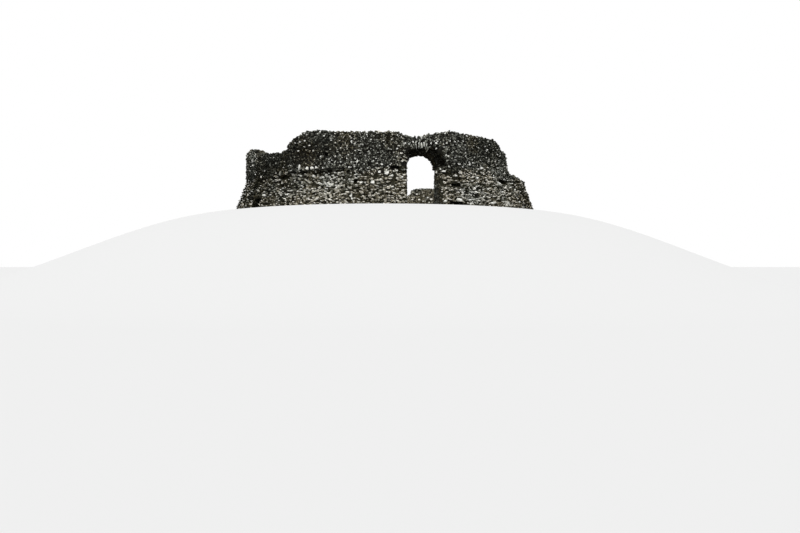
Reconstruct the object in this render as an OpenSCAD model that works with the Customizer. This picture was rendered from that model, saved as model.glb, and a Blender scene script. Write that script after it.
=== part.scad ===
// Ruined shell keep: a many-sided ring wall of rubble masonry round an open court.
// Bearings are in degrees from the doorway (front, -Y) and grow towards +X.
// The origin is the middle of the ring at ground level, with +Z up. Sizes are in millimetres.

/* [Ring wall] */
// Middle of the ring to a flat outer face of the upper wall
wall_face = 9200; // [8600:10:10400]
// Thickness of the upper wall at the middle of a face
wall_thick = 1300; // [1100:10:1900]
// Height of the highest masonry left standing
wall_height = 4400; // [3900:10:5400]
// How far the core stands behind the outer facing
facing_thick = 420; // [300:10:520]
// Thickness of the facing on the court side
court_facing = 400; // [300:10:480]

/* [Battered plinth] */
// Height of the plinth, up to the ledge line
plinth_height = 2150; // [1900:10:2300]
// How far the foot of the plinth spreads beyond the upper wall
batter = 770; // [400:10:1000]
// How far the robbed facing lies behind the upper wall at the ledge
robbed_depth = 210; // [80:10:300]

/* [Doorway] */
// Clear width between the jambs
door_width = 1860; // [1500:10:2000]
// Height of the springing above the ground
spring_height = 2300; // [2200:10:2450]
// Depth of the passage in front of the rebate
rebate_from = 820; // [600:10:900]
// Width of the rebate for the lost door
rebate = 140; // [80:10:200]
// Depth of the broken front of the arch
broken_depth = 430; // [250:10:500]
// How far the outer corner of the left jamb is broken back at its foot
corner_loss = 240; // [0:10:400]
// Thickness of the threshold slab
sill_thick = 180; // [120:10:260]

/* [Hidden] */
facets = 18;
step = 360 / facets;
joint_half = step / 2;
inner_r = wall_face - wall_thick;
foot_face = wall_face + batter;
half_side = wall_face * tan(joint_half);
far_out = 1.6 * wall_face;
past_ledge = 300;
past_top = 500;
door_r = door_width / 2;
least_wall = 60;
bed_z = plinth_height + least_wall;
upper_height = wall_height - bed_z;
stone_grey = "#8d877b";
plinth_grey = "#9c9484";
arch_grey = "#a29a8c";
sill_grey = "#aaa394";
$fn = 72;

// Height left standing, as [bearing, per cent of the wall above the plinth]
skyline_left = [
    [-90, 66], [-84, 70], [-79, 69], [-72, 62], [-67, 60],
    [-62.7, 61], [-58.5, 58], [-55, 63], [-52.5, 66], [-50.4, 69],
    [-49, 77], [-47.6, 85], [-45.6, 91], [-43, 97], [-40, 100],
    [-36, 97], [-31, 92]
];
skyline_front = [
    [-26, 90], [-20, 89], [-9, 88], [-8.2, 85], [-7, 82],
    [-5, 78], [-2, 73], [0.8, 74], [1.8, 82], [3, 87],
    [6.4, 91], [9.2, 96], [11.5, 97], [13.4, 95], [19, 93],
    [24, 92], [28, 90]
];
skyline_right = [
    [31.4, 86], [33.9, 80], [34.8, 67], [38.5, 63], [39.3, 51],
    [39.9, 36], [40.7, 20], [41.4, 13], [43.7, 7], [48, 5],
    [52, 3], [58, 5], [64, 8], [72, 14], [80, 18]
];
skyline_back = [
    [88, 13], [96, 22], [104, 18], [112, 30], [120, 27],
    [128, 36], [137, 33], [146, 35], [152.4, 34], [154, 12],
    [159, 2], [165, 3], [169, 9], [174, 30], [181, 38],
    [188, 33], [196, 48], [207, 62], [214, 58], [221, 72],
    [232, 69], [243, 81], [252, 76], [262, 72], [270, 66]
];
skyline = concat(skyline_left, skyline_front, skyline_right, skyline_back);

// Drop of the outer facing below the core, as [bearing, per cent of the wall above the plinth]
facing_drop = [
    [-90, -19.6], [-83, -18.3], [-76, -12.3], [-71, -12.3], [-67.4, -11.4],
    [-66.3, 7.3], [-58, 11.9], [-53, 20.1], [-50.8, 16.9], [-49.6, 5],
    [-48.6, 0],
    [105, 1.4], [115, 9.6], [125, 0], [195, 0], [205, 11.9],
    [215, 1.8], [248, 0], [260, -15.1], [270, -19.6]
];

// Drop of the court facing below the core, as [bearing, per cent of the wall above the plinth]
court_drop = [
    [-90, 5.5], [-70, 11.9], [-55, 2.7], [-35, 11], [-15, 14.6],
    [-8, 4.1], [8, 2.7], [18, 12.8], [36, 7.3], [44, 1.4],
    [100, 2.7], [125, 8.2], [145, 1.8], [160, 0.5], [190, 5.5],
    [215, 11.9], [240, 4.1], [270, 5.5]
];

// Height of the ledge line above or below the plinth's, as [bearing, per cent of the plinth height]
ledge_step = [
    [-90, -2.8], [-66, -5.1], [-52, -4.2], [-44, 1.4], [-36, -0.9],
    [-25.2, 0.9], [-24.6, -8.8], [-17, -17.7], [-11, -15.3], [-9.9, -1.9],
    [6, -4.2], [12, -7.9], [22, -9.3], [28, -15.3], [38, -9.8],
    [50, -1.4], [80, 0.9], [120, -3.3], [165, -7.4], [195, -1.9],
    [230, -5.6], [270, -2.8]
];

// Holes in the outer face, as [bearing, middle height, width, height, depth behind the face]
face_holes = [
    [-9.8, spring_height - 85, 500, 171, 380],
    [-23, 1450, 230, 190, 430],
    [-34, 3030, 210, 190, 450],
    [-51.8, 1930, 1000, 170, 290],
    [-49.5, 1500, 1150, 620, 70],
    [-65.5, 520, 820, 620, 300],
    [11.1, 1310, 600, 140, 290],
    [10, 250, 640, 150, 260],
    [36, 1840, 820, 240, 280],
    [54, 1480, 210, 190, 420],
    [96, 1450, 210, 190, 420],
    [146, 1450, 210, 190, 420],
    [206, 1470, 210, 190, 420],
    [247, 1450, 210, 190, 420]
];

// Outline of the broken arch front, in door radii from the middle of the springing
broken_outline = [
    [-1, -0.02], [-1.02, 0.84], [-0.74, 1.06], [-0.45, 1.07], [-0.16, 1.1],
    [0.14, 1.19], [0.38, 1.28], [0.7, 1.14], [0.9, 0.96], [1.14, 0.81],
    [1.22, 0.52], [1.45, 0.46], [1.47, 0.05], [1, -0.02]
];

voussoirs = 15;

function side_name(i) =
    i == facets / 2 ? "back" : i < facets / 2 ? str("right_", i) : str("left_", facets - i);
function plinth_name(i) = str("plinth_", side_name(i));
function wall_name(i) = str("wall_", side_name(i));

// Bearings run from -90 to 270 so that each list has one entry for every side
function wrap(b) = b < -90 ? b + 360 : b > 270 ? b - 360 : b;
function facet_bearing(i) = wrap(step * i);
function top_z(b) = bed_z + upper_height * lookup(wrap(b), skyline) / 100;
function drop_z(b, drops) = upper_height * lookup(wrap(b), drops) / 100;
function ledge_z(b) = plinth_height * (1 + lookup(wrap(b), ledge_step) / 100);

// Bearings at which a line breaks inside one face, with both joints
function breaks(list, b0, b1) = concat(
    [b0],
    [for (p = list) if (wrap(p[0]) > b0 + 0.3 && wrap(p[0]) < b1 - 0.3) wrap(p[0])],
    [b1]
);
function along(b, mid) = wall_face * tan(b - mid);

// Line along one face, carried a little past both joints
function top_line(mid, b0, b1, drops) = [
    for (b = breaks(skyline, b0, b1))
        [along(b, mid) * (b == b0 || b == b1 ? 1.3 : 1),
         max(ledge_z(b) + least_wall, top_z(b) - drop_z(b, drops))]
];
function ledge_line(mid, b0, b1) = [
    for (b = breaks(ledge_step, b0, b1))
        [along(b, mid) * (b == b0 || b == b1 ? 1.3 : 1), ledge_z(b)]
];
function reversed(v) = [for (k = [len(v) - 1 : -1 : 0]) v[k]];

// How far a face of the plinth is robbed back at the ledge
function setback(i) =
    i == 17 || i == 0 ? 0.5 * robbed_depth
    : i == 15 || i == 16 ? robbed_depth
    : i == 2 ? 0.5 * robbed_depth
    : 0;

// Turns a part drawn for the doorway face to another bearing
module to_bearing(b) {
    rotate([0, 0, b]) children();
}

// Plan of the ring between two bearings, open to the outside
module ring_plan(b0, b1) {
    difference() {
        polygon([[0, 0], far_out * [sin(b0), -cos(b0)], far_out * [sin(b1), -cos(b1)]]);
        circle(r = inner_r, $fn = 180);
    }
}

// Upright outline in the plane of a face, swept from one depth to another
module through_wall(near_middle, far_from_middle) {
    translate([0, -near_middle, 0])
        rotate([90, 0, 0])
            linear_extrude(height = far_from_middle - near_middle)
                children();
}

// Section of the wall, swept along a face
module along_face(points) {
    rotate([90, 0, -90])
        linear_extrude(height = far_out, center = true)
            polygon(points);
}

// Battered plinth of one face between two offsets from its middle
module plinth_block(mid, off0, off1, back) {
    lean = (batter + back) / plinth_height;
    intersection() {
        along_face([
            [inner_r / 2, 0],
            [foot_face, 0],
            [wall_face - back - lean * past_ledge, plinth_height + past_ledge],
            [inner_r / 2, plinth_height + past_ledge]
        ]);
        linear_extrude(height = plinth_height + past_ledge) ring_plan(off0, off1);
        through_wall(inner_r / 2, far_out)
            polygon(concat(
                ledge_line(mid, mid - joint_half, mid + joint_half),
                [[half_side * 1.5, -10], [-half_side * 1.5, -10]]
            ));
    }
}

// One leaf of the upper wall, from the ledge line to its own broken top
module leaf(mid, near_middle, far_from_middle, drops) {
    b0 = mid - joint_half;
    b1 = mid + joint_half;
    through_wall(near_middle, far_from_middle)
        polygon(concat(top_line(mid, b0, b1, drops), reversed(ledge_line(mid, b0, b1))));
}

// Upper wall of one face: outer facing, core and court facing
module wall_block(mid) {
    core_face = wall_face - facing_thick;
    intersection() {
        union() {
            leaf(mid, core_face, wall_face, facing_drop);
            leaf(mid, inner_r + court_facing, core_face, [[-90, 0], [270, 0]]);
            leaf(mid, inner_r / 2, inner_r + court_facing, court_drop);
        }
        linear_extrude(height = wall_height + past_top) ring_plan(-joint_half, joint_half);
    }
}

// Holes that fall on one face, drawn in the frame of that face
module holes(mid) {
    for (h = face_holes) {
        off = wrap(h[0]) - mid;
        if (abs(off) < joint_half + 1.5)
            translate([wall_face * tan(off) - h[2] / 2, -far_out, h[1] - h[3] / 2])
                cube([h[2], far_out - wall_face + h[4], h[3]]);
    }
}

module plinth_segment(i) {
    mid = facet_bearing(i);
    color(plinth_grey)
        to_bearing(mid)
            difference() {
                if (i == 17)
                    union() {
                        plinth_block(mid, -joint_half, -4.8, robbed_depth);
                        plinth_block(mid, -4.8, joint_half, setback(i));
                    }
                else
                    plinth_block(mid, -joint_half, joint_half, setback(i));
                holes(mid);
            }
}

module wall_segment(i) {
    mid = facet_bearing(i);
    color(stone_grey)
        to_bearing(mid)
            difference() {
                wall_block(mid);
                holes(mid);
            }
}

// Passage below the springing, with its rebate towards the court
module passage() {
    translate([-door_r, -far_out, -10])
        cube([door_width, far_out, spring_height + 10]);
    translate([-door_r - rebate, -(wall_face - rebate_from), -10])
        cube([door_width + 2 * rebate, wall_face - rebate_from, spring_height + 10]);
}

// Passage above the springing: round front arch, wider but no higher rear arch, broken front
module passage_head() {
    translate([0, 0, spring_height]) {
        through_wall(0, far_out) circle(r = door_r);
        through_wall(0, wall_face - rebate_from)
            scale([(door_r + rebate) / door_r, 1]) circle(r = door_r);
        through_wall(wall_face - broken_depth, far_out)
            polygon(door_r * broken_outline);
    }
}

// Length of each arch stone: long slabs at the crown, shorter ones lower down
function slab(k) = 330 + 70 * (k % 2) + (abs(k - 7) <= 1 ? 420 : abs(k - 7) <= 3 ? 110 : 0);

// Back of the arch, stepped from stone to stone
module arch_back() {
    turn = 180 / voussoirs;
    polygon(concat(
        [[0, 0]],
        [for (k = [0 : voussoirs - 1], e = [0, 1])
            (door_r + slab(k)) * [cos((k + e) * turn), sin((k + e) * turn)]]
    ));
}

// Everything of the doorway face, before it is shared out
module doorway_face() {
    union() {
        plinth_block(0, -joint_half, joint_half, setback(0));
        wall_block(0);
    }
}

// Wedge lost from the outer corner of the left jamb, widest at the foot of the batter
module broken_corner() {
    linear_extrude(height = plinth_height)
        polygon([
            [-door_r + 1, -(wall_face - 60)],
            [-door_r + 1, -(foot_face + 50)],
            [-door_r - corner_loss, -(foot_face + 50)]
        ]);
}

// Half of the doorway face below the springing; side is -1 for left, 1 for right
module jamb(side) {
    color(stone_grey)
        difference() {
            intersection() {
                doorway_face();
                translate([side < 0 ? -far_out : 0, -far_out, 0])
                    cube([far_out, far_out, spring_height]);
            }
            passage();
            holes(0);
            if (side < 0) broken_corner();
        }
}

// Half of the doorway face above the springing, up to the back of the arch
module over_door(side) {
    color(stone_grey)
        difference() {
            intersection() {
                wall_block(0);
                translate([side < 0 ? -far_out : 0, -far_out, spring_height])
                    cube([far_out, far_out, wall_height]);
            }
            translate([0, 0, spring_height])
                through_wall(0, far_out) arch_back();
            passage_head();
        }
}

module doorway_jamb_left() {
    jamb(-1);
}

module doorway_jamb_right() {
    jamb(1);
}

module wall_over_doorway_left() {
    over_door(-1);
}

module wall_over_doorway_right() {
    over_door(1);
}

module doorway_arch() {
    color(arch_grey)
        difference() {
            intersection() {
                wall_block(0);
                translate([0, 0, spring_height])
                    through_wall(0, far_out) arch_back();
            }
            passage_head();
        }
}

// Slab on the ground between the jambs, with its front edge on the line of the batter
module doorway_threshold() {
    sill_front = foot_face - 120;
    color(sill_grey)
        difference() {
            translate([-door_r, -sill_front, 0])
                cube([door_width, sill_front - inner_r / 2, sill_thick]);
            translate([0, 0, -10])
                cylinder(r = inner_r, h = sill_thick + 20, $fn = 180);
        }
}

doorway_threshold();
doorway_jamb_left();
doorway_jamb_right();
doorway_arch();
wall_over_doorway_left();
wall_over_doorway_right();
for (i = [1 : facets - 1]) {
    plinth_segment(i);
    wall_segment(i);
}
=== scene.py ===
import math
import random
from collections import namedtuple
from statistics import NormalDist
import bpy
import numpy as np
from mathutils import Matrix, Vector, noise
from mathutils.bvhtree import BVHTree


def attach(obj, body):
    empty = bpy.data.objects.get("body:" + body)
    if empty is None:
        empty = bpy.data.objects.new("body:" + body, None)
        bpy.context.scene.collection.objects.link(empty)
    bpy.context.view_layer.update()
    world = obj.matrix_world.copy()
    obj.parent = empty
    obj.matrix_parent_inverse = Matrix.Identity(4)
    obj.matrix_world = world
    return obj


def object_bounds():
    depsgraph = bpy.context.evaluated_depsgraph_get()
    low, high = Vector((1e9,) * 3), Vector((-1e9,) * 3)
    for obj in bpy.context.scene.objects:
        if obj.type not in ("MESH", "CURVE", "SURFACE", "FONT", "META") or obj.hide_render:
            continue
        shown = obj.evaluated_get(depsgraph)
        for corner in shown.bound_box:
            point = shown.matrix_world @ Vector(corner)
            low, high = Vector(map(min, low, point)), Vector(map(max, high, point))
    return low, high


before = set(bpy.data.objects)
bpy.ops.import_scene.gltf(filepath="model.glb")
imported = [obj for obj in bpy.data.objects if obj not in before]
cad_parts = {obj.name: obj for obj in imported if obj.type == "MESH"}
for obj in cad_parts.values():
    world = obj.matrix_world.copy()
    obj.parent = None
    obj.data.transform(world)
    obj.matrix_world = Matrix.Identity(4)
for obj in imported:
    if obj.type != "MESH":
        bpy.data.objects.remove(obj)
cad_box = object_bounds()

# Sizes shared with the part's source, in metres
INNER_R = 7.9                            # round court face
WALL_FACE = 9.2                          # flat outer face above the ledge, at the doorway
PLINTH_H = 2.15
SPRING_H = 2.3                           # where the arch springs
DOOR_R = 0.93                            # half the doorway's width
REBATE = 0.14                            # how far the rebate goes in beside the doorway
REBATE_FROM = 0.82                       # where it starts, from the outer face
SILL_THICK = 0.18
SLAB_END = 1.5                           # outer radius of the arch's slabs
REAR_WIDE = (DOOR_R + REBATE) / DOOR_R   # the rear arch is this much wider than high
FACETS = 18
FACET_ANGLE = 360.0 / FACETS

# No stone rises above this
TOP_LIMIT = cad_box[1][2] + 0.135

# Photograph's view: level camera below the foot of the wall
CAM_DIST = 45.9
CAM_AZIMUTH = -12.9
CAM_Z = -3.24
CAM_YAW_RIGHT = 1.2
CAM_LENS = 30.0


def side_name(i):
    if i == 0:
        return "doorway"
    if i == FACETS // 2:
        return "back"
    return f"right_{i}" if i < FACETS // 2 else f"left_{FACETS - i}"


def bearing(x, y):
    """Degrees round the ring from the doorway, positive to the right."""
    return math.degrees(math.atan2(x, -y))


def facet_of(degrees):
    return round(degrees / FACET_ANGLE) % FACETS


class Tree:
    """Shorthand for building one material's nodes."""

    def __init__(self, name, roughness=0.93):
        self.mat = bpy.data.materials.new(name)
        self.mat.use_nodes = True
        self.nodes = self.mat.node_tree.nodes
        self.links = self.mat.node_tree.links
        self.shader = self.nodes["Principled BSDF"]
        self.shader.inputs["Roughness"].default_value = roughness
        self.shader.inputs["Specular IOR Level"].default_value = 0.03
        self.coord = self.add("ShaderNodeTexCoord").outputs["Object"]

    def add(self, kind, **values):
        node = self.nodes.new(kind)
        for key, value in values.items():
            setattr(node, key, value)
        return node

    def noise(self, scale, detail, rough):
        node = self.add("ShaderNodeTexNoise")
        node.inputs["Scale"].default_value = scale
        node.inputs["Detail"].default_value = detail
        node.inputs["Roughness"].default_value = rough
        self.links.new(self.coord, node.inputs["Vector"])
        return node.outputs["Fac"]

    def bent(self, scale, reach):
        """The coordinates, moved a little so that what follows them tilts from place to place."""
        wave = self.add("ShaderNodeTexNoise")
        wave.inputs["Scale"].default_value = scale
        wave.inputs["Detail"].default_value = 1.0
        self.links.new(self.coord, wave.inputs["Vector"])
        step = self.add("ShaderNodeVectorMath", operation="MULTIPLY_ADD")
        step.inputs[1].default_value = (reach, reach, reach)
        self.links.new(wave.outputs["Color"], step.inputs[0])
        self.links.new(self.coord, step.inputs[2])
        return step.outputs["Vector"]

    def chips(self, scale, stretch, coord=None):
        """Two random values for each small broken facet, and the distance from its middle."""
        node = self.add("ShaderNodeTexVoronoi")
        node.inputs["Scale"].default_value = scale
        mapping = self.add("ShaderNodeMapping")
        mapping.inputs["Scale"].default_value = stretch
        self.links.new(coord or self.coord, mapping.inputs["Vector"])
        self.links.new(mapping.outputs["Vector"], node.inputs["Vector"])
        split = self.add("ShaderNodeSeparateColor")
        self.links.new(node.outputs["Color"], split.inputs["Color"])
        return split.outputs[0], split.outputs[1], node.outputs["Distance"]

    def ramp(self, source, stops):
        node = self.add("ShaderNodeValToRGB")
        points = node.color_ramp.elements
        while len(points) < len(stops):
            points.new(0.5)
        for point, (place, colour) in zip(points, stops):
            point.position = place
            point.color = (*colour, 1.0)
        self.links.new(source, node.inputs["Fac"])
        return node.outputs["Color"]

    def grade(self, source, low, high, to_low=0.0, to_high=1.0):
        node = self.add("ShaderNodeMapRange")
        for key, value in zip(("From Min", "From Max", "To Min", "To Max"),
                              (low, high, to_low, to_high)):
            node.inputs[key].default_value = value
        self.links.new(source, node.inputs["Value"])
        return node.outputs["Result"]

    def math(self, operation, a, b):
        node = self.add("ShaderNodeMath", operation=operation)
        for socket, value in zip(node.inputs, (a, b)):
            if isinstance(value, (int, float)):
                socket.default_value = value
            else:
                self.links.new(value, socket)
        return node.outputs["Value"]

    def mix(self, factor, a, b, blend="MIX"):
        node = self.add("ShaderNodeMix", data_type="RGBA", blend_type=blend)
        for name, value in (("Factor", factor), ("A", a), ("B", b)):
            socket = [s for s in node.inputs if s.name == name and s.enabled][0]
            if isinstance(value, (int, float)):
                socket.default_value = value
            elif isinstance(value, tuple):
                socket.default_value = (*value, 1.0)
            else:
                self.links.new(value, socket)
        return [s for s in node.outputs if s.enabled][0]

    def darken(self, colour, factor):
        shade = self.add("ShaderNodeCombineColor")
        for k in range(3):
            self.links.new(factor, shade.inputs[k])
        return self.mix(1.0, colour, shade.outputs["Color"], "MULTIPLY")

    def bump(self, height, distance, strength=1.0, under=None):
        node = self.add("ShaderNodeBump")
        node.inputs["Distance"].default_value = distance
        node.inputs["Strength"].default_value = strength
        self.links.new(height, node.inputs["Height"])
        if under is not None:
            self.links.new(under, node.inputs["Normal"])
        return node.outputs["Normal"]

    def done(self, colour, normal):
        self.links.new(colour, self.shader.inputs["Base Color"])
        self.links.new(normal, self.shader.inputs["Normal"])
        return self.mat


# Colour of a stone by its tone from 0 to 1, for cool and for warm stones
COOL = [(0.0, (0.004, 0.004, 0.003)), (0.3, (0.039, 0.041, 0.033)), (0.55, (0.155, 0.159, 0.136)),
        (0.8, (0.52, 0.53, 0.46)), (1.0, (0.92, 0.92, 0.87))]
BROWN = [(0.0, (0.008, 0.006, 0.002)), (0.3, (0.060, 0.050, 0.025)), (0.55, (0.200, 0.177, 0.114)),
         (0.8, (0.55, 0.50, 0.40)), (1.0, (0.92, 0.88, 0.78))]
LICHEN = (0.40, 0.41, 0.37)
PALE_CHIP = (0.23, 0.22, 0.19)


def stone_material():
    """Each stone brings its tone, warmth and lichen in its mesh; the rest varies inside it."""
    t = Tree("weathered_rubble")
    tint = t.add("ShaderNodeAttribute", attribute_name="stone")
    split = t.add("ShaderNodeSeparateColor")
    t.links.new(tint.outputs["Color"], split.inputs["Color"])
    tone, warm, lichen = split.outputs[0], split.outputs[1], split.outputs[2]
    cloud = t.noise(7.0, 5.0, 0.6)
    grain = t.noise(55.0, 4.0, 0.7)
    bent = t.bent(1.3, 0.5)
    chip, chip_warm, _ = t.chips(12.0, (1.0, 1.0, 1.9), bent)
    flake, _, _ = t.chips(21.0, (1.0, 1.0, 2.0), bent)
    for value, low, high, swing in ((cloud, 0.3, 0.7, 0.06), (chip, 0.0, 1.0, 0.24),
                                    (flake, 0.0, 1.0, 0.20), (grain, 0.3, 0.7, 0.06)):
        tone = t.math("ADD", tone, t.grade(value, low, high, -swing, swing))
    warm = t.math("ADD", warm, t.grade(chip_warm, 0.0, 1.0, -0.2, 0.2))
    colour = t.mix(warm, t.ramp(tone, COOL), t.ramp(tone, BROWN))
    spots = t.grade(t.noise(23.0, 3.0, 0.5), 0.58, 0.66)
    colour = t.mix(t.math("MULTIPLY", spots, lichen), colour, LICHEN)
    pits = t.grade(t.noise(30.0, 5.0, 0.65), 0.36, 0.5, 0.55, 1.0)
    colour = t.darken(colour, pits)
    coarse = t.bump(t.noise(9.0, 6.0, 0.62), 0.05, 0.7)
    return t.done(colour, t.bump(grain, 0.008, 0.7, coarse))


def core_material(name, dark, light, pale_chips):
    """Mortar between and behind the stones, with a share of pale chips in it."""
    t = Tree(name, 0.97)
    patch = t.noise(1.6, 4.0, 0.6)
    lumps = t.noise(16.0, 6.0, 0.68)
    mixed = t.math("ADD", t.math("MULTIPLY", patch, 0.4), t.math("MULTIPLY", lumps, 0.6))
    between = tuple((a + b) / 2 for a, b in zip(dark, light))
    colour = t.ramp(mixed, [(0.36, dark), (0.5, between), (0.64, light)])
    chip, _, edge = t.chips(13.0, (1.0, 1.0, 1.4))
    shown = t.math("MULTIPLY", t.grade(chip, 1.0 - pale_chips, 1.0 - 0.5 * pale_chips),
                   t.grade(edge, 0.34, 0.22))
    colour = t.mix(shown, colour, PALE_CHIP)
    coarse = t.bump(lumps, 0.06, 0.9)
    return t.done(colour, t.bump(t.noise(60.0, 4.0, 0.7), 0.008, 0.7, coarse))


STONE = stone_material()
CORE_UPPER = core_material("mortar_dark", (0.004, 0.004, 0.003), (0.028, 0.027, 0.022), 0.12)
CORE_LOWER = core_material("mortar_pale", (0.005, 0.005, 0.003), (0.040, 0.038, 0.024), 0.16)
CORE_ARCH = core_material("mortar_arch", (0.005, 0.005, 0.004), (0.026, 0.025, 0.021), 0.06)

for name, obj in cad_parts.items():
    core = (CORE_LOWER if name.startswith("plinth") or "jamb" in name or "threshold" in name
            else CORE_ARCH if "arch" in name else CORE_UPPER)
    for material_slot in obj.material_slots:
        material_slot.material = core
    if not obj.material_slots:
        obj.data.materials.append(core)


def triangles_of(obj):
    """Corners of an object's triangles in the scene, as an array."""
    mesh = obj.data
    mesh.calc_loop_triangles()
    co = np.empty(len(mesh.vertices) * 3)
    mesh.vertices.foreach_get("co", co)
    co = co.reshape(-1, 3)
    m = np.array(obj.matrix_world)
    co = co @ m[:3, :3].T + m[:3, 3]
    tri = np.empty(len(mesh.loop_triangles) * 3, dtype=np.int64)
    mesh.loop_triangles.foreach_get("vertices", tri)
    return co[tri.reshape(-1, 3)]


class Flat:
    """A flat patch: u level, v upwards or outwards, h away from the solid."""

    def __init__(self, normal, offset):
        self.n = normal
        self.o = normal * offset
        self.frame_up()

    def frame_up(self, middle=None):
        if abs(self.n[2]) > 0.8:
            out = np.array([0.0, -1.0, 0.0] if middle is None else [middle[0], middle[1], 0.0])
            out /= np.linalg.norm(out)
            v = out - self.n * (out @ self.n)
        else:
            v = np.array([0.0, 0.0, 1.0]) - self.n * self.n[2]
        self.v = v / np.linalg.norm(v)
        self.u = np.cross(self.v, self.n)

    def flat(self, p):
        q = p - self.o
        return np.stack([q @ self.u, q @ self.v], axis=-1)

    def solid(self, uvh):
        return (self.o + uvh[..., 0:1] * self.u + uvh[..., 1:2] * self.v
                + uvh[..., 2:3] * self.n)


class Court:
    """The round court face: u round the ring, v up, h towards the middle."""

    def __init__(self, mid):
        self.mid = mid

    def flat(self, p):
        a = np.arctan2(p[..., 0], -p[..., 1]) - self.mid
        a = (a + math.pi) % (2 * math.pi) - math.pi
        return np.stack([-a * INNER_R, p[..., 2]], axis=-1)

    def solid(self, uvh):
        a = self.mid - uvh[..., 0] / INNER_R
        r = INNER_R - uvh[..., 2]
        return np.stack([r * np.sin(a), -r * np.cos(a), uvh[..., 1]], axis=-1)


class Soffit:
    """Underside of the arch: u along the passage, v round the arch, h inwards."""

    def __init__(self, half_span):
        self.wide = half_span / DOOR_R

    def flat(self, p):
        a = np.arctan2(p[..., 2] - SPRING_H, p[..., 0] / self.wide)
        a = np.where(a < -math.pi / 2, a + 2 * math.pi, a)
        return np.stack([p[..., 1], a * DOOR_R], axis=-1)

    def solid(self, uvh):
        a = uvh[..., 1] / DOOR_R
        r = DOOR_R - uvh[..., 2]
        x, z = self.wide * r * np.cos(a), SPRING_H + r * np.sin(a)
        return np.stack([x, uvh[..., 0], z], axis=-1)


ON_CURVE = 0.004   # a corner this near a round face lies on it
FOOT = 0.02        # a face below this that looks down is the foot, which gets no stones


def new_patch(key, normal, offset):
    if key[0] == "court":
        return Court(math.radians(FACET_ANGLE * key[1]))
    if key[0] == "soffit":
        return Soffit(DOOR_R if key[1] == "front" else DOOR_R + REBATE)
    return Flat(normal.copy(), offset)


def collect_patches():
    """Triangles of all nodes, grouped by the patch that they lie on."""
    groups = {}
    for name in sorted(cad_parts):
        tris = triangles_of(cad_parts[name])
        cross = np.cross(tris[:, 1] - tris[:, 0], tris[:, 2] - tris[:, 0])
        size = np.linalg.norm(cross, axis=1)
        keep = size > 1e-8
        tris, cross, size = tris[keep], cross[keep], size[keep]
        normals = cross / size[:, None]
        centre = tris.mean(axis=1)
        x, y, z = tris[:, :, 0], tris[:, :, 1], tris[:, :, 2]
        upright = np.abs(normals[:, 2]) < 0.1
        on_court = upright & (np.abs(np.hypot(x, y) - INNER_R) < ON_CURVE).all(axis=1)
        in_arch = (np.abs(normals[:, 1]) < 0.1) & (name == "doorway_arch")
        on_front = in_arch & (np.abs(np.hypot(x, z - SPRING_H) - DOOR_R) < ON_CURVE).all(axis=1)
        rear_r = np.hypot(x / REAR_WIDE, z - SPRING_H)
        on_rear = in_arch & (np.abs(rear_r - DOOR_R) < ON_CURVE).all(axis=1)
        own = "arch" in name or "threshold" in name
        for k in range(len(tris)):
            n, c = normals[k], centre[k]
            if n[2] < -0.9 and c[2] < FOOT:
                continue
            face = facet_of(bearing(c[0], c[1]))
            offset = float(c @ n)
            if on_court[k]:
                key = ("court", face)
            elif on_front[k]:
                key = ("soffit", "front")
            elif on_rear[k]:
                key = ("soffit", "rear")
            else:
                key = ("flat", name if own else face, *np.round(n, 2) + 0.0, round(offset, 2))
            if key not in groups:
                groups[key] = {"patch": new_patch(key, n, offset), "tris": [], "face": face,
                               "own": own, "name": name}
            groups[key]["tris"].append(tris[k])
    return groups


def make_trees():
    """One search tree for each solid, with the solid's box."""
    trees = []
    for name in sorted(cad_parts):
        tris = triangles_of(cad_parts[name])
        flat = tris.reshape(-1, 3)
        polys = [(k, k + 1, k + 2) for k in range(0, len(flat), 3)]
        tree = BVHTree.FromPolygons([Vector(p) for p in flat], polys, epsilon=0.0)
        trees.append((flat.min(axis=0), flat.max(axis=0), tree))
    return trees


TREES = make_trees()
UPWARDS = Vector((0.0931, 0.1377, 0.9861)).normalized()   # askew, so that it meets no edge
MOST_CROSSINGS = 20


def buried(point):
    """Whether a point is inside any solid, by counting that solid's faces above it."""
    for low, high, tree in TREES:
        if (point < low).any() or (point > high).any():
            continue
        at = Vector(point)
        crossings = 0
        for _ in range(MOST_CROSSINGS):
            hit = tree.ray_cast(at, UPWARDS)[0]
            if hit is None:
                break
            crossings += 1
            at = hit + UPWARDS * 1e-4
        if crossings % 2:
            return True
    return False


BATCH = 4000   # points that are tested at once


def inside_any(points, tris):
    """Which of the points lie in any of the flat triangles."""
    found = np.zeros(len(points), dtype=bool)
    a, b, c = tris[:, 0], tris[:, 1], tris[:, 2]
    area = (b[:, 0] - a[:, 0]) * (c[:, 1] - a[:, 1]) - (b[:, 1] - a[:, 1]) * (c[:, 0] - a[:, 0])
    sign = np.where(area < 0, -1.0, 1.0)
    for start in range(0, len(points), BATCH):
        p = points[start:start + BATCH, None, :]
        ok = np.ones((p.shape[0], len(tris)), dtype=bool)
        for s, e in ((a, b), (b, c), (c, a)):
            side = ((e[:, 0] - s[:, 0]) * (p[..., 1] - s[:, 1])
                    - (e[:, 1] - s[:, 1]) * (p[..., 0] - s[:, 0])) * sign
            ok &= side > -1e-5
        found[start:start + BATCH] = ok.any(axis=1)
    return found


def clip(poly, nx, ny, d):
    """The part of a convex outline with nx*x + ny*y <= d."""
    out = []
    last = poly[-1]
    last_side = nx * last[0] + ny * last[1] - d
    for p in poly:
        side = nx * p[0] + ny * p[1] - d
        if (side < 0) != (last_side < 0):
            t = last_side / (last_side - side)
            out.append((last[0] + t * (p[0] - last[0]), last[1] + t * (p[1] - last[1])))
        if side <= 0:
            out.append(p)
        last, last_side = p, side
    return out


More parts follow.
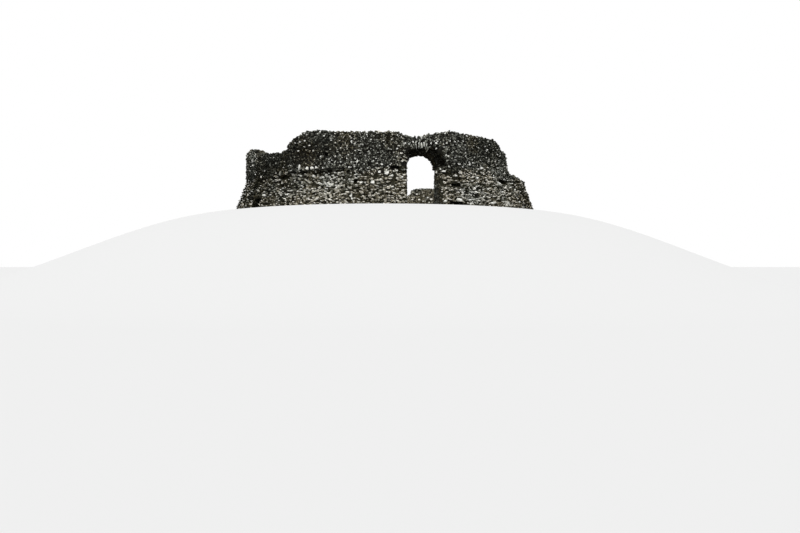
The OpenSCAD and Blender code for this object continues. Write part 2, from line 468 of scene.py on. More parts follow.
def rubble_cells(box, row_h, col_w, jitter, rng):
    """Outlines of roughly coursed stones that fill a box, as Voronoi cells of jittered sites.

    Heights are stretched by squash while the cells are found, so that flat stones come out flat.
    """
    u0, v0, u1, v1 = box
    squash = 0.8 * col_w / row_h
    rows = []
    v = v0 - row_h
    while v < v1 + row_h:
        h = row_h * rng.uniform(0.75, 1.3)
        row = []
        u = u0 - col_w * rng.uniform(0.4, 1.6)
        while u < u1 + col_w:
            w = col_w * rng.uniform(0.55, 1.5)
            row.append((u + w / 2 + rng.uniform(-1, 1) * jitter * w * 0.3,
                        (v + h / 2 + rng.uniform(-1, 1) * jitter * h * 0.5) * squash))
            u += w
        rows.append(row)
        v += h
    cells = []
    reach = 2.6 * col_w
    for r, row in enumerate(rows):
        near = [q for beside in rows[max(0, r - 2):r + 3] for q in beside]
        for site in row:
            x, y = site
            if not (u0 < x < u1 and v0 * squash < y < v1 * squash):
                continue
            poly = [(x - reach, y - reach), (x + reach, y - reach),
                    (x + reach, y + reach), (x - reach, y + reach)]
            for q in near:
                dx, dy = q[0] - x, q[1] - y
                if q is site or abs(dx) > reach or abs(dy) > reach:
                    continue
                poly = clip(poly, dx, dy, (q[0] ** 2 + q[1] ** 2 - x ** 2 - y ** 2) / 2)
                if len(poly) < 3:
                    break
            if len(poly) >= 4:
                cells.append([(u, v / squash) for u, v in poly])
    return cells


STONE_BACK = -0.03   # how far a stone goes on inside the solid


class Stones:
    """Gathers closed stones for one piece."""

    def __init__(self):
        self.verts = []
        self.faces = []
        self.tints = []
        self.count = 0

    def add(self, patch, poly, height, tilt, bevel, tint, rng, rings=3):
        """One stone: an outline pushed out of the patch, with broken edges and an uneven face.

        Large stones have three rings of corners, one of them on the face; small ones have two.
        """
        pts = np.array(poly)
        n = len(pts)
        mid = pts.mean(axis=0)
        out = pts - mid
        slope = out @ np.array(tilt)
        low, high = (0.45, 0.95) if rings == 3 else (0.35, 0.9)
        edge = np.array([rng.uniform(low, high) for _ in range(n)])
        shrink = 0.99 if rings == 3 else 1 - 0.5 * bevel
        layers = [np.concatenate([pts, np.full((n, 1), STONE_BACK)], axis=1),
                  np.concatenate([mid + out * shrink, (height * edge + slope)[:, None]], axis=1)]
        if rings == 3:
            face = np.array([rng.uniform(0.85, 1.15) for _ in range(n)])
            keep = np.array([rng.uniform(bevel - 0.12, bevel + 0.12) for _ in range(n)])
            layers.append(np.concatenate([mid + out * (1 - keep[:, None]),
                                          (height * face + slope)[:, None]], axis=1))
        off = out.T @ np.array([rng.uniform(-0.25, 0.25) for _ in range(n)])
        peak = height * rng.uniform(0.95, 1.25)
        layers.append(np.array([[mid[0] + off[0], mid[1] + off[1], peak]]))
        at = self.count
        solid = patch.solid(np.concatenate(layers))
        solid[:, 2] = np.clip(solid[:, 2], 0.0, TOP_LIMIT)
        self.verts.append(solid)
        for ring in range(rings - 1):
            a, b = at + ring * n, at + (ring + 1) * n
            self.faces.extend((a + k, a + (k + 1) % n, b + (k + 1) % n, b + k) for k in range(n))
        last = at + (rings - 1) * n
        self.faces.extend((last + k, last + (k + 1) % n, last + n) for k in range(n))
        self.faces.append(tuple(at + k for k in range(n - 1, -1, -1)))
        self.tints.extend([tint] * (rings * n + 1))
        self.count += rings * n + 1

    def build(self, name, slot):
        mesh = bpy.data.meshes.new(name)
        mesh.from_pydata(np.concatenate(self.verts).tolist(), [], self.faces)
        layer = mesh.color_attributes.new("stone", "FLOAT_COLOR", "POINT")
        layer.data.foreach_set("color", np.array(self.tints, dtype=np.float32).ravel())
        mesh.materials.append(STONE)
        mesh.update()
        obj = bpy.data.objects.new(name, mesh)
        bpy.context.scene.collection.objects.link(obj)
        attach(obj, "root")


NORMAL = NormalDist()


def clamp(x, low=0.0, high=1.0):
    return max(low, min(high, x))


# Large dark and pale patches on the outer face, partly real stains and partly painted shade:
# bearing, height, half sizes, change of tone. The dark patches of the far left face (-66, -67,
# -86), the thin dark lines under the ledge (-31 and 34), the dark band at the foot at 13 and the
# dark patch at 11 right of the doorway are painted shade
STAINS_AND_SHADE = (
    (-43, 3.3, 10, 0.9, -0.40), (-66, 2.9, 14, 1.3, -0.38), (-67, 1.0, 18, 1.2, -0.43),
    (-86, 1.4, 9, 1.8, -0.49), (-74, 3.5, 7, 0.4, 0.28), (-48, 1.5, 6, 0.4, -0.16),
    (-32, 2.5, 8, 0.3, 0.10), (-31, 1.97, 6, 0.12, -0.16), (-26, 2.05, 5, 0.4, 0.25),
    (-36, 1.65, 4, 0.3, -0.10), (-34, 0.75, 8, 0.5, 0.34), (-18, 0.9, 3, 0.35, -0.12),
    (-22.3, 1.65, 3.6, 0.6, -0.11),
    (-17, 3.6, 6, 0.8, -0.05), (-17, 1.8, 4, 0.3, -0.15), (-7, 1.65, 3, 0.45, -0.13),
    (-8.5, 0.7, 3, 0.4, 0.12), (11, 2.1, 7, 0.8, -0.15), (11.5, 0.55, 4, 0.3, 0.28),
    (13, 0.2, 6, 0.12, -0.20), (28, 2.4, 6, 0.5, 0.10), (30, 3.5, 11, 0.8, -0.24),
    (34.0, 1.92, 1.6, 0.12, -0.35), (58, 1.1, 14, 1.3, -0.53), (92, 1.8, 9, 0.5, 0.07),
    (118, 1.0, 12, 0.9, -0.10), (150, 2.0, 10, 0.8, 0.06), (180, 0.8, 8, 0.8, -0.06),
    (-150, 1.4, 12, 1.0, -0.10), (-122, 2.4, 10, 1.0, -0.08), (-100, 0.8, 10, 0.9, -0.12),
)


# Summed change of tone at a place, from real stains and from painted shade
def stain_and_shade_at(b, z):
    total = 0.0
    for b0, z0, half_b, half_z, change in STAINS_AND_SHADE:
        away = ((b - b0 + 180.0) % 360.0 - 180.0) / half_b
        total += change * math.exp(-away * away - ((z - z0) / half_z) ** 2)
    return total


BESIDE = 0.13     # metres over which stones count as neighbours
HELD_APART = 0.9  # share of the neighbours' mean that is taken off
FEWEST = 12       # smaller patches keep their plain draws


def contrast_draws(centres, rng):
    """A random number for each stone, held apart from those of the stones beside it."""
    draws = np.array([rng.gauss(0.0, 1.0) for _ in centres])
    if len(draws) < FEWEST:
        return draws
    away = ((centres[:, None, :] - centres[None, :, :]) ** 2).sum(axis=2)
    weight = np.exp(-away / (2 * BESIDE ** 2))
    draws = draws - HELD_APART * (weight @ draws) / weight.sum(axis=1)
    return draws / draws.std()


# Tone, its spread, share of pale stones and warmth, by the stone's place
TINTS = {
    "court": (0.455, 0.12, 0.05, 0.85),
    # soffit: near-black painted shade of the arch's underside and of the recess behind its broken
    # front, much darker than the stone's own sooty, damp colour
    "soffit": (-0.09, 0.04, 0.0, 0.3),
    # haunch: painted light, paler than the stones' own colour to make up for the shade that the
    # arch's front casts on them
    "haunch": (0.62, 0.25, 0.15, 0.1),
    "reveal": (0.27, 0.09, 0.02, 0.3),
    "top": (0.34, 0.15, 0.10, 0.25),
    "end": (0.34, 0.15, 0.10, 0.25),
    "upper": (0.43, 0.25, 0.09, 0.02),
    "lower": (0.58, 0.45, 0.28, 0.52),
}
OUTER = ("upper", "plinth", "top", "end")
TONE_LIMITS = (-0.15, 1.35)
PALE_TONES = (0.95, 1.35)

# Round the broken front of the arch, stones below HAUNCH_Z take the soffit tones, which are
# painted shade, and those above take the haunch tones, which are painted light that makes up for
# the shade of the arch's front
ARCH_ZONE_X, ARCH_ZONE_Z, HAUNCH_Z = 1.5, (SPRING_H - 0.15, 3.65), 3.40
ARCH_ZONE_Y = (0.08 - WALL_FACE, -INNER_R - 0.1)


def tint_place(point, kind):
    """Which row of TINTS a stone takes."""
    x, y, z = point
    if (abs(x) < ARCH_ZONE_X and ARCH_ZONE_Z[0] < z < ARCH_ZONE_Z[1]
            and ARCH_ZONE_Y[0] < y < ARCH_ZONE_Y[1]):
        return "soffit" if z < HAUNCH_Z else "haunch"
    if kind in ("upper", "plinth"):
        edge = z + 0.5 * noise.noise(Vector(point) * 1.3)
        return "upper" if edge > PLINTH_H - 0.05 else "lower"
    return kind


def tint_of(point, kind, draw, rng):
    """Tone, warmth and lichen of a stone, by where it sits, its part and its own draw."""
    z = point[2]
    place = tint_place(point, kind)
    outer = kind in OUTER and place not in ("soffit", "haunch")
    tone, spread, pale, warm = TINTS[place]
    # Painted shade under the arch, lighter towards the springing
    if place == "soffit":
        tone += 0.25 * clamp((2.75 - z) / 0.6)
    # Darker and paler patches on the outer face: real stains, and painted shade in some places
    change = stain_and_shade_at(bearing(point[0], point[1]), z) if outer else 0.0
    tone += spread * draw + 0.06 * noise.noise(Vector(point) * 0.55) + change
    share = pale * clamp(1.0 + 5.0 * change, 0.3, 1.4)
    if share > 0.0 and draw > NORMAL.inv_cdf(1.0 - share):
        tone = rng.uniform(*PALE_TONES)
    if kind == "plinth" and outer:
        warm += 0.3 * clamp((1.3 - z) / 0.8)
    warm += 1.1 * noise.noise(Vector(point) * 0.8 + Vector((7.0, 3.0, 1.0)))
    return (clamp(tone, *TONE_LIMITS), clamp(warm + rng.uniform(-0.3, 0.35)),
            rng.uniform(0.0, 0.6) if tone < 0.6 else 0.1, 1.0)


# How stones are laid: row height, column width, how far their sites stray, how far they stand
# out and how much that varies, joint, share that has fallen out, how far their faces may tilt
Laying = namedtuple("Laying", "row_h col_w jitter relief spread joint gone tilt")
KINDS = {
    "upper": Laying(0.080, 0.112, 1.0, 0.056, 0.036, 0.019, 0.08, 0.34),
    "plinth": Laying(0.078, 0.165, 0.75, 0.074, 0.050, 0.024, 0.11, 0.34),
    "court": Laying(0.115, 0.190, 0.9, 0.045, 0.022, 0.022, 0.05, 0.16),
    "top": Laying(0.170, 0.190, 1.0, 0.055, 0.040, 0.022, 0.10, 0.45),
    "end": Laying(0.150, 0.200, 1.0, 0.070, 0.045, 0.024, 0.08, 0.45),
    "reveal": Laying(0.150, 0.300, 0.6, 0.030, 0.012, 0.018, 0.02, 0.10),
    "soffit": Laying(0.110, 0.300, 0.7, 0.110, 0.016, 0.007, 0.0, 0.05),
    "flag": Laying(0.550, 0.620, 0.6, 0.018, 0.006, 0.020, 0.00, 0.01),
}
BROKEN = ("upper", "plinth", "end")   # kinds with bulges, hollows and shards


# Holes of the part's source: bearing, middle height, width, height
HOLES = (
    (-9.8, 2.215, 0.50, 0.171), (-23, 1.45, 0.23, 0.19), (-34, 3.03, 0.21, 0.19),
    (-51.8, 1.93, 1.00, 0.17), (-49.5, 1.50, 1.15, 0.62), (-65.5, 0.52, 0.82, 0.62),
    (11.1, 1.31, 0.60, 0.14), (10, 0.25, 0.64, 0.15), (36, 1.84, 0.82, 0.24),
    (54, 1.48, 0.21, 0.19), (96, 1.45, 0.21, 0.19), (146, 1.45, 0.21, 0.19),
    (-154, 1.47, 0.21, 0.19), (-113, 1.45, 0.21, 0.19),
)


# Joints that have lost their stones: bearing, middle height, width, height
GAPS = (
    (-11.6, 1.70, 0.62, 0.12), (-11.0, 1.27, 0.42, 0.10), (-69.2, 1.70, 0.40, 0.22),
    (-45.5, 2.62, 0.24, 0.18), (-35.5, 2.55, 0.16, 0.34), (-41.0, 0.78, 0.36, 0.10),
    (9.0, 1.95, 0.76, 0.11), (6.2, 1.47, 0.18, 0.26), (15.5, 1.11, 0.34, 0.11),
    (5.6, 0.35, 0.26, 0.14), (27.4, 0.76, 0.33, 0.10), (37.4, 2.13, 0.30, 0.14),
    (-30.0, 2.13, 1.90, 0.17), (-38.0, 2.05, 0.60, 0.14), (-8.9, 2.22, 0.60, 0.13),
)


def slot_at(point, slots, spare=0.0):
    """Height of the hole or gap that a point lies in, or nothing."""
    for b, z, w, h in slots:
        if abs(point[2] - z) < h / 2:
            b = math.radians(b)
            if (abs(point[0] * math.cos(b) + point[1] * math.sin(b)) < w / 2 + spare
                    and point[0] * math.sin(b) - point[1] * math.cos(b) > 0):
                return h
    return None


# Large pale stones that stand out of the front: bearing, height, width, depth, tone
PALE_STONES = (
    (-12.7, 1.93, 0.28, 0.25, 0.98), (-17.2, 1.34, 0.30, 0.20, 0.92),
    (-24.7, 3.65, 0.14, 0.33, 0.72), (-22.8, 2.56, 0.12, 0.26, 0.74),
    (-39.8, 2.31, 0.25, 0.19, 0.92), (-41.7, 2.30, 0.18, 0.22, 0.88),
    (-37.9, 2.31, 0.20, 0.17, 0.92), (-45.0, 2.42, 0.11, 0.23, 0.86),
    (-54.2, 2.16, 0.44, 0.22, 0.42), (31.7, 1.61, 0.36, 0.20, 0.98),
    (10.9, 0.42, 0.40, 0.20, 0.92), (6.3, 0.32, 0.30, 0.12, 0.74), (18.4, 1.15, 0.22, 0.17, 0.98),
    (18.7, 0.95, 0.23, 0.12, 0.98), (24.7, 1.19, 0.16, 0.10, 0.95), (23.7, 2.43, 0.23, 0.13, 0.88),
    (20.8, 1.83, 0.21, 0.14, 0.95), (11.2, 1.82, 0.27, 0.17, 0.90), (6.7, 2.06, 0.22, 0.10, 0.82),
    (9.0, 2.94, 0.14, 0.09, 0.88), (6.6, 3.08, 0.14, 0.09, 0.88), (-3.5, 3.62, 0.16, 0.12, 0.78),
    (25.5, 0.40, 0.36, 0.17, 0.78), (33.7, 0.47, 0.46, 0.16, 0.76),
    (-64.6, 0.72, 0.38, 0.34, 0.62), (-77.3, 3.39, 0.40, 0.19, 0.84),
    (-75.5, 3.07, 0.34, 0.12, 0.74), (-10.9, 1.04, 0.25, 0.16, 0.78),
    (-6.4, 2.45, 0.17, 0.15, 0.72), (-11.0, 1.70, 0.19, 0.12, 0.86),
    (-47.7, 0.81, 0.20, 0.12, 0.76), (-61.8, 0.95, 0.40, 0.15, 0.70),
    (-35.3, 1.31, 0.20, 0.13, 0.86), (-30.6, 1.20, 0.24, 0.13, 0.82),
    (-35.0, 1.71, 0.20, 0.12, 0.78), (-39.1, 1.81, 0.20, 0.12, 0.76),
    (-46.0, 1.73, 0.15, 0.12, 0.88), (-52.4, 1.19, 0.18, 0.12, 0.88),
    (-24.1, 0.56, 0.13, 0.16, 0.84), (4.6, 3.62, 0.12, 0.11, 0.76), (3.2, 3.55, 0.12, 0.12, 0.76),
    (8.4, 3.66, 0.13, 0.12, 0.72), (-46.9, 3.80, 0.10, 0.09, 0.90),
    (-44.7, 3.86, 0.12, 0.09, 0.95), (-42.7, 3.88, 0.12, 0.09, 0.95),
    (-24.0, 0.66, 0.13, 0.14, 0.95), (-23.8, 0.42, 0.13, 0.10, 0.90),
    (-14.5, 2.38, 0.17, 0.14, 0.85), (-7.6, 2.07, 0.17, 0.12, 0.85),
    (-9.4, 1.98, 0.17, 0.11, 0.80), (-7.7, 1.62, 0.20, 0.10, 0.85),
    (-15.1, 1.97, 0.18, 0.14, 0.85), (-36.0, 1.36, 0.18, 0.10, 0.80),
    (-31.7, 1.25, 0.18, 0.10, 0.80), (-25.4, 1.53, 0.14, 0.10, 0.80),
    (-21.0, 1.33, 0.20, 0.12, 0.85), (-19.7, 1.31, 0.13, 0.12, 0.85),
    (5.2, 3.73, 0.12, 0.10, 0.80), (7.4, 3.43, 0.12, 0.10, 0.76), (6.1, 2.20, 0.14, 0.10, 0.85),
    (7.4, 2.09, 0.15, 0.10, 0.85), (43.6, 1.44, 0.17, 0.12, 0.80), (42.9, 0.66, 0.30, 0.12, 0.76),
    (-0.8, 3.87, 0.11, 0.12, 0.95), (0.8, 3.83, 0.24, 0.10, 0.98), (0.4, 3.67, 0.18, 0.10, 0.98),
    (1.6, 3.56, 0.09, 0.20, 0.95),
)


def noted_stones(group, tris):
    """Outlines of the noted pale stones that lie on a patch, with their tones."""
    patch, found = group["patch"], []
    if not isinstance(patch, Flat):
        return found
    for b, z, w, h, tone in PALE_STONES:
        if facet_of(b) != group["face"]:
            continue
        way = np.array([math.sin(math.radians(b)), -math.cos(math.radians(b)), 0.0])
        facing = float(patch.n @ way)
        if facing < 0.5:
            continue
        r = (float(patch.o @ patch.n) - patch.n[2] * z) / facing
        centre = patch.flat(way * r + np.array([0.0, 0.0, z]))
        if inside_any(centre[None, :], tris)[0]:
            found.append((centre, w, h, tone))
    return found


def kind_of(group):
    """Which row of KINDS covers a patch, by the way that it faces."""
    patch, name = group["patch"], group["name"]
    if isinstance(patch, Court):
        return "court"
    if isinstance(patch, Soffit):
        return "soffit"
    n = patch.n
    if name == "doorway_threshold":
        return "flag"
    if abs(n[2]) > 0.6:
        return "top"
    mid = np.mean(group["tris"], axis=(0, 1))
    out = np.array([mid[0], mid[1], 0.0])
    out /= np.linalg.norm(out)
    facing = float(n @ out)
    if group["face"] == 0 and abs(n[0]) > 0.9 and abs(mid[0]) < 1.3:
        return "reveal"
    if facing > 0.7:
        return "plinth" if n[2] > 0.03 else "upper"
    if facing < -0.7:
        return "court"
    return "end"


def fit(poly, centre, tris, margin):
    """Pulls the corners of an outline back to the edge of the patch."""
    pts = np.array(poly)
    lo = np.zeros(len(pts))
    hi = np.ones(len(pts))
    inside = inside_any(pts, tris)
    if inside.all():
        return poly
    for _ in range(6):
        t = (lo + hi) / 2
        ok = inside_any(centre + (pts - centre) * t[:, None], tris)
        lo = np.where(ok, t, lo)
        hi = np.where(ok, hi, t)
    reach = np.linalg.norm(pts - centre, axis=1)
    t = np.where(inside, 1.0, np.minimum(1.0, lo + margin / np.maximum(reach, 1e-4)))
    return [tuple(p) for p in centre + (pts - centre) * t[:, None]]


# The arch's slabs, with angles in degrees from the right springing
CROWN_TURN = (64.0, 98.0)
SLAB_JOINT = 0.012
RUBBLE_END = 2.0   # radius up to which rubble follows the slabs

# Pale and dark tones of the slabs that reach the wall's face, by their place
FRONT_Y = -WALL_FACE + 0.1
CROWN_X = (-0.17, 0.5)
SLAB_TONES = {"crown": (1.50, 0.64), "right": (0.92, 0.48), "left": (0.72, 0.40)}


def arch_slabs(patch, rng):
    """Outlines of the thin radial slabs of the arch, with rubble beyond them, and their draws."""
    depth = float(patch.o @ patch.n) / patch.n[1]
    cells, draws = [], []
    turn, pale = 0.0, 1.0
    while turn < 180.0:
        crown = CROWN_TURN[0] < turn < CROWN_TURN[1]
        step = rng.uniform(2.8, 4.2) if crown else rng.uniform(3.4, 5.6)
        r0, r1 = DOOR_R - 0.02, rng.uniform(1.30 if crown else 1.08, SLAB_END)
        while r0 < RUBBLE_END:
            corners = []
            for r, a in ((r0, turn), (r1, turn), (r1, turn + step), (r0, turn + step)):
                a = math.radians(a + rng.uniform(-0.4, 0.4))
                corners.append((r * math.cos(a), depth, SPRING_H + r * math.sin(a)))
            cells.append([tuple(p) for p in patch.flat(np.array(corners))])
            draws.append(pale if r0 < DOOR_R else rng.gauss(0.0, 1.0))
            r0, r1 = r1, r1 + rng.uniform(0.12, 0.24)
        turn += step
        pale = -pale
    return cells, draws


def slab_tone(probe, draw, rng):
    """Tone of a slab on the front of the arch, or nothing for the rubble beyond the slabs."""
    near_crown = CROWN_X[0] < probe[0] < CROWN_X[1]
    reach = math.hypot(probe[0], probe[2] - SPRING_H)
    if reach >= (SLAB_END if near_crown else (DOOR_R + SLAB_END) / 2):
        return None
    place = "crown" if near_crown else "right" if probe[0] > 0 else "left"
    high, low = SLAB_TONES[place]
    return max(0.0, rng.gauss(high if draw > 0 else low, 0.1))


def in_order(poly):
    """The same outline, counted anticlockwise."""
    ends = zip(poly[-1:] + poly[:-1], poly)
    area = sum(a[0] * b[1] - b[0] * a[1] for a, b in ends)
    return poly if area > 0 else poly[::-1]


def narrowed(pts, centre, angle, share):
    """The outline, drawn in to a share of its width in one direction."""
    across = np.array([math.cos(angle), math.sin(angle)])
    return pts - (1.0 - share) * ((pts - centre) @ across)[:, None] * across


def noted_outline(centre, w, h, corners, rng):
    """An uneven outline with a few sharp corners."""
    turn = rng.uniform(0, 2 * math.pi)
    ring = []
    for k in range(corners):
        a = turn + 2 * math.pi * (k + rng.uniform(-0.25, 0.25)) / corners
        r = rng.uniform(0.6, 1.45)
        ring.append((centre[0] + r * w / 2 * math.cos(a), centre[1] + r * h / 2 * math.sin(a)))
    return ring


def add_noted(noted, cells, tones, rng):
    """Adds the outlines and tones of the noted stones, the wide ones broken in two, with the
    second shard darker as painted shade of a side of the stone.
    """
    for centre, w, h, tone in noted:
        split = w > SPLIT_FROM
        ring = noted_outline(centre, w, h, 5 if split else rng.choice((3, 4, 4, 5)), rng)
        if split:
            cells.extend((ring[:4], ring[3:] + ring[:1]))
            # The darker second shard is painted shade, for a side of the stone turned from the
            # light
            tones.extend((tone, tone - rng.uniform(0.3, 0.6)))
        else:
            cells.append(ring)
            tones.append(tone)


def beside_noted(centre, noted):
    """Whether a place belongs to a noted stone."""
    return any(abs(centre[0] - c[0]) < 0.5 * w + 0.03 and abs(centre[1] - c[1]) < 0.5 * h + 0.02
               for c, w, h, _ in noted)


def also_fallen(at):
    """Share of stones that have fallen out of broken masonry, by the place."""
    return 0.4 * clamp(noise.noise(at * 2.3) - 0.25)


def over_crown(kind, at):
    return kind == "top" and at.y < -INNER_R and abs(at.x + 0.25) < 0.7


def extra_height(kind, at):
    """How much further stones stand out under the crown and on the wall top over it."""
    if kind == "soffit":
        return 0.08 * math.exp(-((at.x + 0.28) / 0.36) ** 2)
    if over_crown(kind, at):
        return 0.13 * math.exp(-(at.x / 0.4) ** 2)
    return 0.0


def drawn_in(pts, centre, width, joint, kind, rng):
    """The outline less its joint, and narrowed to a shard where the masonry is broken."""
    pts = centre + (pts - centre) * np.maximum(0.55, 1 - joint / width)
    if kind not in BROKEN:
        return pts
    turn = rng.gauss(math.pi / 2, 0.32) if kind == "plinth" else rng.uniform(0.0, math.pi)
    return narrowed(pts, centre, turn, rng.uniform(0.6, 1.0))


SMALLEST_PATCH, SMALLEST_STONE = 0.03, 0.035
LARGE_STONE = 0.2          # from this width on a stone has three rings of corners
LOWEST_STONE = 0.012       # least height of a stone
SPLIT_FROM = 0.15          # wider noted stones are broken in two
PROBE = 0.03               # how far off the face a place is tested
BEVELS = (0.16, 0.34)
SOFFIT_BEVEL = 0.4         # share of the bevel that is left under the arch

# Only a hole at least this high has stones in it, and they stand out this far
STONED_HOLE, HOLE_STONE = 0.3, 0.03

# What a noted stone has more than the others, and its bevel
NOTED_RISE, NOTED_TONE, NOTED_BEVEL = 0.03, 0.36, 0.08

# Stones paler than this lean back, so that their faces catch the light
PALE_TONE, PALE_LEAN = 0.9, -0.28

# The top row of the plinth is mostly gone on these faces, and thinned on the others
ROBBED_FACES, ROBBED, THINNED, LEDGE_ROW = (15, 16, 17, 2), 0.9, 0.4, 0.10

FIRST_SEED, REBATE_SEED = 1000, 77


def lay_stones(group, stones, seed):
    """Covers one patch with stones. Every change to the order of draws changes the stones."""
    kind = kind_of(group)
    laying = KINDS[kind]
    rng = random.Random(seed)
    patch = group["patch"]
    tris3 = np.array(group["tris"])
    if isinstance(patch, Flat):
        patch.frame_up(tris3.mean(axis=(0, 1)))
    tris = patch.flat(tris3)
    lo, hi = tris.reshape(-1, 2).min(axis=0), tris.reshape(-1, 2).max(axis=0)
    if min(hi - lo) < SMALLEST_PATCH:
        return
    slabs = (group["name"] == "doorway_arch" and isinstance(patch, Flat)
             and abs(patch.n[1]) > 0.9)
    if slabs:
        cells, draws = arch_slabs(patch, rng)
    else:
        cells = rubble_cells((*lo, *hi), laying.row_h, laying.col_w, laying.jitter, rng)
    if not cells:
        return
    joint = SLAB_JOINT if slabs else laying.joint
    tones = [None] * len(cells)
    noted = noted_stones(group, tris) if kind in ("upper", "plinth") else []
    add_noted(noted, cells, tones, rng)
    centres = np.array([np.mean(c, axis=0) for c in cells])
    inside = inside_any(centres, tris)
    if not slabs:
        draws = contrast_draws(centres, rng)
    ledge_gap = 0.0
    if kind == "plinth":
        ledge_gap = ROBBED if group["face"] in ROBBED_FACES else THINNED

    # Slabs have no draws for noted stones, so on the arch those only keep their place clear
    for cell, centre, ok, own_tone, draw in zip(cells, centres, inside, tones, draws):
        own = own_tone is not None
        skip = rng.random() < laying.gone
        h = laying.relief + rng.uniform(-laying.spread, laying.spread)
        at = Vector(patch.solid(np.array([centre[0], centre[1], 0.0])))
        if kind in BROKEN:
            h += 0.04 * noise.noise(at * 1.1)
            skip = skip or rng.random() < also_fallen(at)
        h += extra_height(kind, at)
        if over_crown(kind, at):
            skip = False
        if own:
            h = laying.relief + NOTED_RISE
        h = max(LOWEST_STONE, h)
        lean = (rng.uniform(-laying.tilt, laying.tilt), rng.uniform(-laying.tilt, laying.tilt))
        bevel = NOTED_BEVEL if own else rng.uniform(*BEVELS)
        if kind == "soffit":
            bevel *= SOFFIT_BEVEL
        if not ok or not own and (skip or beside_noted(centre, noted)):
            continue
        probe = patch.solid(np.array([centre[0], centre[1], PROBE]))
        if buried(probe):
            continue
        hole = slot_at(probe, HOLES, 0.04)
        if hole is not None and hole < STONED_HOLE:
            continue
        if kind in ("upper", "plinth") and not own and slot_at(probe, GAPS):
            continue
        if hole is not None:
            h = HOLE_STONE
        if ledge_gap and rng.random() < ledge_gap and not own:
            above = np.array([[centre[0], centre[1] + LEDGE_ROW]])
            if not inside_any(above, tris)[0]:
                continue
        pts = np.array(in_order(fit(cell, centre, tris, 0.03)))
        width = np.ptp(pts, axis=0)
        if min(width) < SMALLEST_STONE:
            continue
        if not own:
            pts = drawn_in(pts, centre, width, joint, kind, rng)
        tint = tint_of(probe, "reveal" if kind == "flag" else kind, draw, rng)
        if slabs and patch.n[1] < 0 and probe[1] < FRONT_Y:
            tone = slab_tone(probe, draw, rng)
            if tone is not None:
                tint = (tone, *tint[1:])
        if own:
            tint = (own_tone + NOTED_TONE, rng.uniform(0.0, 0.3), 0.0, 1.0)
        if tint[0] > PALE_TONE:
            lean = (lean[0], PALE_LEAN)
        rings = 3 if own or max(width) > LARGE_STONE else 2
        stones.add(patch, pts, h, lean, bevel, tint, rng, rings)


def fill_rebate_floor(stones):
    """Small stones at the foot of the rebate, beside each end of the threshold."""
    rng = random.Random(REBATE_SEED)
    patch = Flat(np.array([0.0, 0.0, 1.0]), 0.0)
    x0, x1, long = DOOR_R - 0.02, DOOR_R + REBATE + 0.02, 0.25
    for side in (-1.0, 1.0):
        for near in (0.0, 0.26):
            corners = [(x0, near), (x1, near), (x1, near + long), (x0, near + long)]
            outline = [(side * (x + rng.uniform(-0.01, 0.01)),
                        REBATE_FROM - WALL_FACE + y + rng.uniform(0.0, 0.02), 0.0)
                       for x, y in corners]
            ring = in_order([tuple(q) for q in patch.flat(np.array(outline))])
            tint = (rng.uniform(0.3, 0.5), 0.4, 0.3, 1.0)
            stones.add(patch, ring, 0.85 * SILL_THICK, (0.0, 0.0), 0.25, tint, rng)


groups = collect_patches()
pieces = {}
for number, key in enumerate(sorted(groups, key=str)):
    group = groups[key]
    if "threshold" in group["name"]:
        title, slot = "threshold_flags", "sill_stone"
    elif group["own"]:
        title, slot = "arch_stones", "arch_stone"
    else:
        title, slot = "stonework_" + side_name(group["face"]), "wall_rubble"
    stones = pieces.setdefault(title, (Stones(), slot))[0]
    lay_stones(group, stones, FIRST_SEED + number)
fill_rebate_floor(pieces["threshold_flags"][0])
for title, (stones, slot) in pieces.items():
    stones.build(title, slot)


def background_rays(nodes, links):
    """1 for the rays that show the plain background: camera, glossy and transmission rays."""
    path = nodes.new("ShaderNodeLightPath")
    found = path.outputs["Is Camera Ray"]
    for name in ("Is Glossy Ray", "Is Transmission Ray"):
        either = nodes.new("ShaderNodeMath")
        either.operation = "MAXIMUM"
        links.new(found, either.inputs[0])
        links.new(path.outputs[name], either.inputs[1])
        found = either.outputs[0]
    return found


def stage_material():
    t = Tree("pale_floor", 0.9)
    t.shader.inputs["Base Color"].default_value = (0.55, 0.55, 0.54, 1.0)
    t.shader.inputs["Specular IOR Level"].default_value = 0.1
    shown = t.add("ShaderNodeEmission")
    mix = t.add("ShaderNodeMixShader")
    part = t.math("MULTIPLY", background_rays(t.nodes, t.links), 0.6)
    t.links.new(part, mix.inputs[0])
    t.links.new(t.shader.outputs[0], mix.inputs[1])
    t.links.new(shown.outputs[0], mix.inputs[2])
    t.links.new(mix.outputs[0], t.nodes["Material Output"].inputs["Surface"])
    return t.mat


# Pale floor: level round the keep, wider towards the camera, then falling to FLOOR_DROP
FLOOR_TOP = -0.004
FLOOR_DROP = 4.9
BROW_R, BROW_FRONT_R = 10.25, 11.2
SLOPE_END_R, FLOOR_END_R = 28.0, 2500.0
FLOOR_AROUND, SLOPE_STEPS = 144, 30


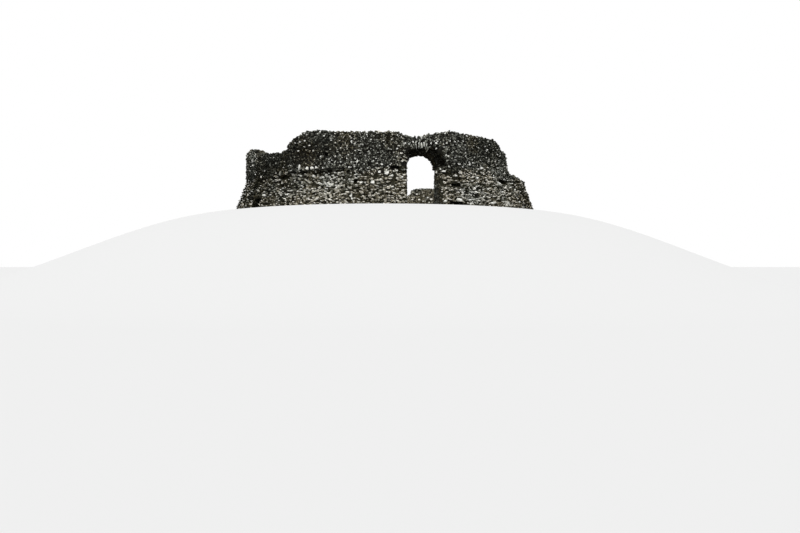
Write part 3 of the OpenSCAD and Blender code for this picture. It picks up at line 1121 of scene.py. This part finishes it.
def make_stage():
    verts = [(0.0, 0.0, FLOOR_TOP)]
    rings = SLOPE_STEPS + 4
    for ring in range(rings):
        for k in range(FLOOR_AROUND):
            a = 2 * math.pi * k / FLOOR_AROUND
            off = a - math.radians(CAM_AZIMUTH - 90.0)
            brow = max(BROW_R, BROW_FRONT_R - (1 - math.cos(off)))
            if ring < 2:
                r, z = (6.0, brow)[ring], FLOOR_TOP
            elif ring == rings - 1:
                r, z = FLOOR_END_R, FLOOR_TOP - FLOOR_DROP
            else:
                t = (ring - 1) / (SLOPE_STEPS + 1)
                r = brow + (SLOPE_END_R - brow) * t
                z = FLOOR_TOP - FLOOR_DROP * t * t * (3 - 2 * t)
            verts.append((r * math.cos(a), r * math.sin(a), z))
    faces = [(0, 1 + k, 1 + (k + 1) % FLOOR_AROUND) for k in range(FLOOR_AROUND)]
    for ring in range(rings - 1):
        a = 1 + ring * FLOOR_AROUND
        b = a + FLOOR_AROUND
        for k in range(FLOOR_AROUND):
            j = (k + 1) % FLOOR_AROUND
            faces.append((a + k, b + k, b + j, a + j))
    mesh = bpy.data.meshes.new("floor")
    mesh.from_pydata(verts, [], faces)
    mesh.materials.append(stage_material())
    mesh.polygons.foreach_set("use_smooth", [True] * len(mesh.polygons))
    obj = bpy.data.objects.new("floor", mesh)
    bpy.context.scene.collection.objects.link(obj)


def make_world():
    """Light that is stronger from above, behind a plain white background."""
    world = bpy.data.worlds.new("studio")
    bpy.context.scene.world = world
    world.use_nodes = True
    nodes, links = world.node_tree.nodes, world.node_tree.links
    light = nodes["Background"]
    light.inputs["Color"].default_value = (0.97, 0.98, 1.0, 1.0)
    coord = nodes.new("ShaderNodeTexCoord")
    split = nodes.new("ShaderNodeSeparateXYZ")
    height = nodes.new("ShaderNodeMapRange")
    for key, value in (("From Min", 0.0), ("From Max", 1.0), ("To Min", 0.4), ("To Max", 0.9)):
        height.inputs[key].default_value = value
    links.new(coord.outputs["Generated"], split.inputs[0])
    links.new(split.outputs["Z"], height.inputs["Value"])
    links.new(height.outputs["Result"], light.inputs["Strength"])
    shown = nodes.new("ShaderNodeBackground")
    shown.inputs["Color"].default_value = (1.0, 1.0, 1.0, 1.0)
    mix = nodes.new("ShaderNodeMixShader")
    links.new(background_rays(nodes, links), mix.inputs[0])
    links.new(light.outputs[0], mix.inputs[1])
    links.new(shown.outputs[0], mix.inputs[2])
    links.new(mix.outputs[0], nodes["World Output"].inputs["Surface"])


def make_sun(name, azimuth, elevation, strength, angle):
    data = bpy.data.lights.new(name, "SUN")
    data.energy = strength
    data.angle = math.radians(angle)
    obj = bpy.data.objects.new(name, data)
    a, e = math.radians(azimuth), math.radians(elevation)
    way = Vector((math.sin(a) * math.cos(e), -math.cos(a) * math.cos(e), math.sin(e)))
    obj.rotation_euler = way.to_track_quat("Z", "Y").to_euler()
    obj.location = way * 60.0
    bpy.context.scene.collection.objects.link(obj)


def make_camera():
    data = bpy.data.cameras.new("camera")
    data.lens = CAM_LENS
    data.sensor_width = 36.0
    data.clip_end = 6000.0
    obj = bpy.data.objects.new("camera", data)
    a = math.radians(CAM_AZIMUTH)
    obj.location = (CAM_DIST * math.sin(a), -CAM_DIST * math.cos(a), CAM_Z)
    obj.rotation_euler = (math.radians(90.0), 0.0, a - math.radians(CAM_YAW_RIGHT))
    bpy.context.scene.collection.objects.link(obj)
    bpy.context.scene.camera = obj


make_stage()
make_world()
make_sun("key_light", azimuth=-30.0, elevation=56.0, strength=1.9, angle=20.0)
make_camera()

scene = bpy.context.scene
scene.view_settings.view_transform = "Standard"
